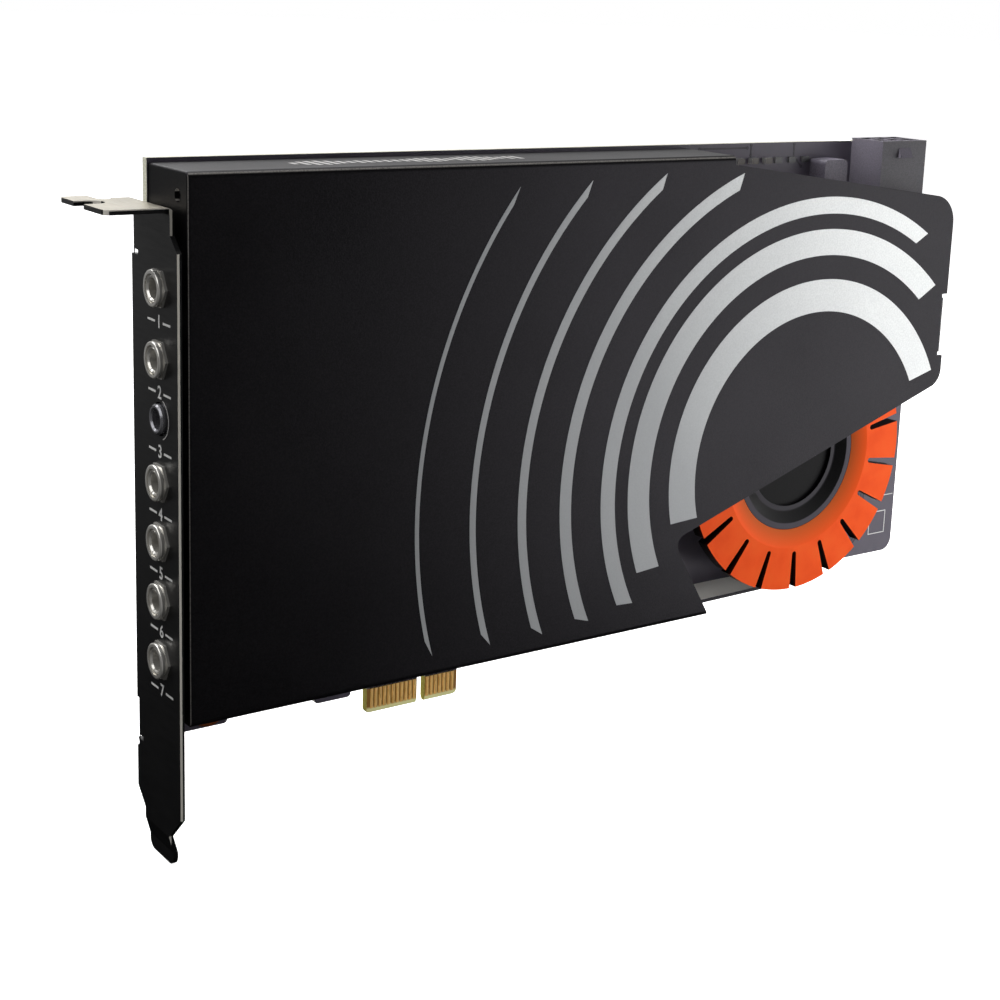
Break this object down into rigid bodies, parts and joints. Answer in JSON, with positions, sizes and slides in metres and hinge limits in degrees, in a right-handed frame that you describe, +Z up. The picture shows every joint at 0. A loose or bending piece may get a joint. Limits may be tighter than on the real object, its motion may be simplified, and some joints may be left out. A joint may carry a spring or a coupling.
{
  "type": "sound card",
  "caption": "Full-height expansion sound card with a slot bracket, a row of audio jacks, a folded black shroud, an orange slotted light ring and an edge connector.",
  "frame": {"origin": "middle of the edge key at the tips of the contacts, on the board's middle plane", "axes": "+X away from the bracket along the board, +Y from the component side to the solder side, +Z up"},
  "size_m": [0.2051, 0.0227, 0.1276],
  "materials": {
    "board": "dark solder mask on glass-epoxy laminate",
    "gold": "gold-plated copper",
    "bracket_paint": "black satin over nickel-plated steel",
    "shroud_paint": "fine black powder coat with silver fields",
    "nickel": "bright nickel",
    "gunmetal": "dark plated",
    "black_plastic": "moulded black",
    "header_plastic": "moulded black",
    "orange": "orange light plate",
    "lamp": "clear resin",
    "tin": "tinned contact metal",
    "chip": "moulded package",
    "ferrite": "pressed ferrite",
    "can": "bare drawn can",
    "film_case": "red moulded case",
    "relay_case": "pale moulded case",
    "crystal_can": "drawn steel can",
    "resistor_body": "glazed chip",
    "capacitor_body": "fired chip",
    "standoff_metal": "turned brass",
    "screw": "black-plated steel"
  },
  "bodies": {
    "root": {"pcb": "board", "edge_contacts": "gold", "bracket": "bracket_paint", "shroud": "shroud_paint", "jack_contacts": "tin", "jack_nuts": "nickel", "light_ring": "orange", "light_carrier": "black_plastic", "ring_lamps": "lamp", "power_header": "header_plastic", "power_pins": "tin", "power_inductor": "ferrite", "audio_processor": "chip", "converter_chip": "chip", "bridge_chip": "chip", "headphone_amplifier": "chip", "op_amps": "chip", "electrolytic_capacitors": "can", "film_capacitors": "film_case", "relays": "relay_case", "crystals": "crystal_can", "regulators": "chip", "chip_resistors": "resistor_body", "chip_capacitors": "capacitor_body", "standoffs": "standoff_metal", "shroud_screws": "screw", "bracket_screws": "screw", "carrier_screws": "screw", "jack_housing_1": "black_plastic", "jack_barrel_1": "nickel", "jack_housing_2": "black_plastic", "jack_barrel_2": "nickel", "jack_housing_3": "black_plastic", "jack_barrel_3": "gunmetal", "jack_housing_4": "black_plastic", "jack_barrel_4": "nickel", "jack_housing_5": "black_plastic", "jack_barrel_5": "nickel", "jack_housing_6": "black_plastic", "jack_barrel_6": "nickel", "jack_housing_7": "black_plastic", "jack_barrel_7": "nickel"}
  },
  "joints": []
}
